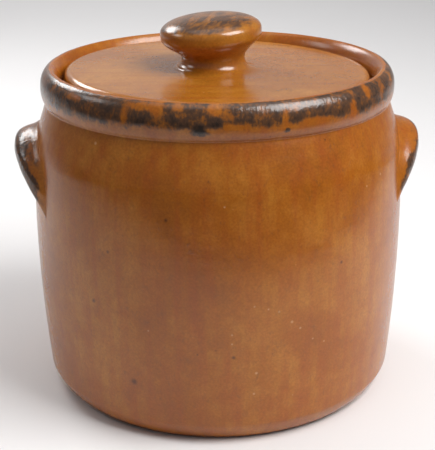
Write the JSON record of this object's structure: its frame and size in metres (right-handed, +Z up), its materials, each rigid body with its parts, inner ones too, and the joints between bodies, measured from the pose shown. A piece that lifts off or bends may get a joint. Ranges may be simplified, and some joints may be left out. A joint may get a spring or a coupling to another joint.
{
  "type": "kitchen canister",
  "caption": "Round salt-glazed stoneware jar with a rolled rim and arched side lugs, closed by an inset lid with a mushroom knob.",
  "frame": {"origin": "centre of the flat base, on the surface that the canister stands on", "axes": "+Z up along the jar's turning axis, X through the two lugs, -Y the side seen in the picture"},
  "size_m": [0.2186, 0.2, 0.2019],
  "materials": {
    "jar_glaze": "satin orange-brown salt glaze with a dark iron slip on the rim and the lugs",
    "lid_glaze": "satin orange-brown salt glaze with dark iron streaks on top of the knob"
  },
  "bodies": {
    "root": {"jar": "jar_glaze", "lid": "lid_glaze"}
  },
  "joints": []
}
